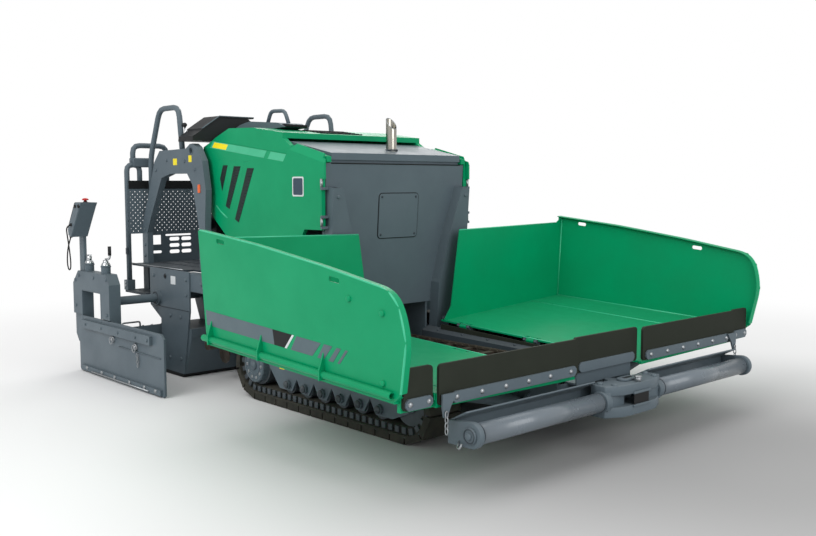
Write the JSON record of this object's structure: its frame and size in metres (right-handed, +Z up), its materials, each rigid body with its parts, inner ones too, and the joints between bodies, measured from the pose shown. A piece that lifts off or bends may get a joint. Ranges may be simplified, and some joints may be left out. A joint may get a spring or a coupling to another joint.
{
  "type": "asphalt paver",
  "caption": "Compact tracked asphalt paver with folding hopper wings, push rollers, slat conveyor, augers and a sliding floating screed with an operator stand.",
  "frame": {"origin": "centre of the footprint, on the ground under the tracks and the screed", "axes": "+X the way the machine travels, towards the hopper and push rollers; +Y its left side; +Z up"},
  "size_m": [3.5039, 2.586, 1.637],
  "materials": {
    "black_paint": "black paint",
    "cast": "dull cast iron",
    "chrome": "hard chrome",
    "green_paint": "satin green paint",
    "grey_paint": "satin slate grey paint",
    "plastic": "black plastic",
    "rubber": "dark rubber",
    "steel": "bare worn steel"
  },
  "bodies": {
    "chassis": {"access_cover": "grey_paint", "auger_carrier": "grey_paint", "centre_flap": "rubber", "centre_strip": "grey_paint", "chassis": "grey_paint", "console": "plastic", "conveyor_chain": "cast", "conveyor_guards": "grey_paint", "deck": "grey_paint", "engine": "cast", "exhaust_pipe": "steel", "gantry": "grey_paint", "guard_panel": "grey_paint", "hood_cover": "grey_paint", "hood_front": "grey_paint", "hood_rear": "black_paint", "hood_top": "green_paint", "intake_cover": "grey_paint", "platform": "grey_paint", "track_frame_left": "grey_paint", "track_frame_right": "grey_paint", "track_left": "rubber", "track_right": "rubber", "track_wheels_left": "cast", "track_wheels_right": "cast"},
    "wing_left": {"wing_left": "green_paint", "wing_flap_left": "rubber", "flap_strip_left": "grey_paint"},
    "wing_right": {"wing_right": "green_paint", "wing_flap_right": "rubber", "flap_strip_right": "grey_paint"},
    "wing_barrel_left": {"wing_barrel_left": "grey_paint"},
    "wing_barrel_right": {"wing_barrel_right": "grey_paint"},
    "wing_rod_left": {"wing_rod_left": "chrome"},
    "wing_rod_right": {"wing_rod_right": "chrome"},
    "push_beam": {"push_beam": "grey_paint"},
    "push_roller_left": {"push_roller_left": "steel"},
    "push_roller_right": {"push_roller_right": "steel"},
    "door_left": {"door_left": "green_paint"},
    "door_right": {"door_right": "green_paint"},
    "screed": {"tow_arms": "grey_paint", "screed_body": "grey_paint", "side_panels": "grey_paint", "screed_sole": "black_paint"},
    "lift_barrel_left": {"lift_barrel_left": "grey_paint"},
    "lift_barrel_right": {"lift_barrel_right": "grey_paint"},
    "lift_rod_left": {"lift_rod_left": "chrome"},
    "lift_rod_right": {"lift_rod_right": "chrome"},
    "extension_left": {"extension_left": "grey_paint", "end_plate_left": "grey_paint", "control_panel_left": "plastic"},
    "extension_right": {"extension_right": "grey_paint", "end_plate_right": "grey_paint", "control_panel_right": "plastic"},
    "auger_left": {"auger_left": "cast"},
    "auger_right": {"auger_right": "cast"}
  },
  "joints": [
    {"name": "wing_left_fold", "type": "hinge", "parent": "chassis", "child": "wing_left", "pos_m": [0.9, 0.25, 0.35008], "axis": [0.9992, 0, -0.04], "range_deg": [0, 58]},
    {"name": "wing_barrel_left_swing", "type": "hinge", "parent": "chassis", "child": "wing_barrel_left", "pos_m": [1.3, 0.31, 0.188], "axis": [0.9992, 0, -0.04], "range_deg": [0, 54.1]},
    {"name": "wing_rod_left_slide", "type": "slide", "parent": "wing_barrel_left", "child": "wing_rod_left", "axis": [0.0098, 0.9692, 0.246], "range_m": [0, 0.147]},
    {"name": "door_left_open", "type": "hinge", "parent": "chassis", "child": "door_left", "pos_m": [0.165, 0.534, 1], "axis": [0, 0, -1], "range_deg": [0, 80]},
    {"name": "push_roller_left_spin", "type": "hinge", "parent": "push_beam", "child": "push_roller_left", "pos_m": [1.672, 0.6, 0.237], "axis": [0, 1, 0], "continuous": true},
    {"name": "auger_left_spin", "type": "hinge", "parent": "chassis", "child": "auger_left", "pos_m": [-0.745, 0.3, 0.225], "axis": [0, 1, 0], "continuous": true},
    {"name": "extension_left_slide", "type": "slide", "parent": "screed", "child": "extension_left", "axis": [0, -1, 0], "range_m": [0, 0.25]},
    {"name": "lift_barrel_left_swing", "type": "hinge", "parent": "chassis", "child": "lift_barrel_left", "pos_m": [-1.05, 0.455, 0.915], "axis": [0, 1, 0], "range_deg": [0, 1.85]},
    {"name": "lift_rod_left_slide", "type": "slide", "parent": "lift_barrel_left", "child": "lift_rod_left", "axis": [0, 0, 1], "range_m": [0, 0.1]},
    {"name": "wing_right_fold", "type": "hinge", "parent": "chassis", "child": "wing_right", "pos_m": [0.9, -0.25, 0.35008], "axis": [-0.9992, 0, 0.04], "range_deg": [0, 58]},
    {"name": "wing_barrel_right_swing", "type": "hinge", "parent": "chassis", "child": "wing_barrel_right", "pos_m": [1.3, -0.31, 0.188], "axis": [-0.9992, 0, 0.04], "range_deg": [0, 54.1]},
    {"name": "wing_rod_right_slide", "type": "slide", "parent": "wing_barrel_right", "child": "wing_rod_right", "axis": [0.0098, -0.9692, 0.246], "range_m": [0, 0.147]},
    {"name": "door_right_open", "type": "hinge", "parent": "chassis", "child": "door_right", "pos_m": [0.165, -0.534, 1], "axis": [0, 0, 1], "range_deg": [0, 80]},
    {"name": "push_roller_right_spin", "type": "hinge", "parent": "push_beam", "child": "push_roller_right", "pos_m": [1.672, -0.6, 0.237], "axis": [0, 1, 0], "continuous": true},
    {"name": "auger_right_spin", "type": "hinge", "parent": "chassis", "child": "auger_right", "pos_m": [-0.745, -0.3, 0.225], "axis": [0, 1, 0], "continuous": true},
    {"name": "extension_right_slide", "type": "slide", "parent": "screed", "child": "extension_right", "axis": [0, 1, 0], "range_m": [0, 0.25]},
    {"name": "lift_barrel_right_swing", "type": "hinge", "parent": "chassis", "child": "lift_barrel_right", "pos_m": [-1.05, -0.455, 0.915], "axis": [0, 1, 0], "range_deg": [0, 1.85]},
    {"name": "lift_rod_right_slide", "type": "slide", "parent": "lift_barrel_right", "child": "lift_rod_right", "axis": [0, 0, 1], "range_m": [0, 0.1]},
    {"name": "push_beam_swivel", "type": "hinge", "parent": "chassis", "child": "push_beam", "pos_m": [1.57, 0, 0.237], "axis": [0, 0, 1], "range_deg": [-5, 5]},
    {"name": "screed_lift", "type": "hinge", "parent": "chassis", "child": "screed", "pos_m": [0.08, 0, 0.56], "axis": [0, 1, 0], "range_deg": [0, 5]}
  ],
  "couplings": [
    {"joint": "wing_barrel_left_swing", "follows": "wing_left_fold", "ratio": 0.931},
    {"joint": "wing_rod_left_slide", "follows": "wing_left_fold", "m_per_rad": 0.1447},
    {"joint": "lift_barrel_left_swing", "follows": "screed_lift", "ratio": 0.355},
    {"joint": "lift_rod_left_slide", "follows": "screed_lift", "m_per_rad": 1.1356},
    {"joint": "wing_barrel_right_swing", "follows": "wing_right_fold", "ratio": 0.931},
    {"joint": "wing_rod_right_slide", "follows": "wing_right_fold", "m_per_rad": 0.1447},
    {"joint": "lift_barrel_right_swing", "follows": "screed_lift", "ratio": 0.355},
    {"joint": "lift_rod_right_slide", "follows": "screed_lift", "m_per_rad": 1.1356}
  ]
}
